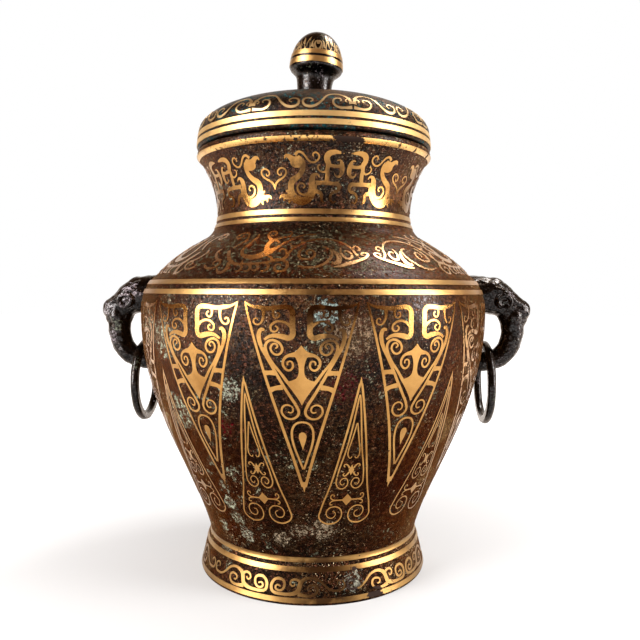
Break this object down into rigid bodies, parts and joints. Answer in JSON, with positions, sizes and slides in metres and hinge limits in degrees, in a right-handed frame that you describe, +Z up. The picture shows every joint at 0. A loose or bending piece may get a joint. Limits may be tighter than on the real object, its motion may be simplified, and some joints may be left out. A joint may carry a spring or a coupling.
{
  "type": "lidded jar",
  "caption": "Shouldered bronze jar on a ring foot, with a domed lift-off lid and knob, animal-head handles holding loose rings, and gold inlaid bands and blades.",
  "frame": {"origin": "middle of the foot's flat underside", "axes": "+Z up along the jar's axis, handles on +X and -X, the first hanging blade facing -Y"},
  "size_m": [0.1812, 0.1404, 0.2191],
  "materials": {
    "bronze": "dark patinated cast bronze, mottled brown, purple and grey-green, half polished",
    "dark_bronze": "near-black patinated cast bronze, rubbed on the high points",
    "gold": "burnished gold inlay, worn in places"
  },
  "bodies": {
    "jar": {"vessel": "bronze", "handle_left": "dark_bronze", "handle_right": "dark_bronze", "band_foot_lower": "gold", "band_foot_middle": "gold", "band_foot_upper": "gold", "band_shoulder_lower": "gold", "band_shoulder_upper": "gold", "band_neck_lower": "gold", "band_neck_upper": "gold", "band_mouth": "gold", "blade_hanging_01": "gold", "blade_hanging_02": "gold", "blade_hanging_03": "gold", "blade_hanging_04": "gold", "blade_hanging_05": "gold", "blade_hanging_06": "gold", "blade_hanging_07": "gold", "blade_hanging_08": "gold", "blade_hanging_09": "gold", "blade_hanging_10": "gold", "blade_hanging_11": "gold", "blade_standing_01": "gold", "blade_standing_02": "gold", "blade_standing_03": "gold", "blade_standing_04": "gold", "blade_standing_05": "gold", "blade_standing_06": "gold", "blade_standing_07": "gold", "blade_standing_08": "gold", "blade_standing_09": "gold", "blade_standing_10": "gold", "blade_standing_11": "gold"},
    "lid": {"lid": "bronze", "knob": "dark_bronze", "band_lid_lower": "gold", "band_lid_upper": "gold", "band_knob_lower": "gold", "band_knob_upper": "gold"},
    "ring_left": {"ring_left": "dark_bronze"},
    "ring_right": {"ring_right": "dark_bronze"}
  },
  "joints": [
    {"name": "lid_lift", "type": "slide", "parent": "jar", "child": "lid", "axis": [0, 0, 1], "range_m": [0, 0.12]},
    {"name": "ring_left_swing", "type": "hinge", "parent": "jar", "child": "ring_left", "pos_m": [-0.07123, 0, 0.084], "axis": [1, 0, 0], "range_deg": [-75, 75]},
    {"name": "ring_right_swing", "type": "hinge", "parent": "jar", "child": "ring_right", "pos_m": [0.07123, 0, 0.084], "axis": [1, 0, 0], "range_deg": [-75, 75]}
  ]
}
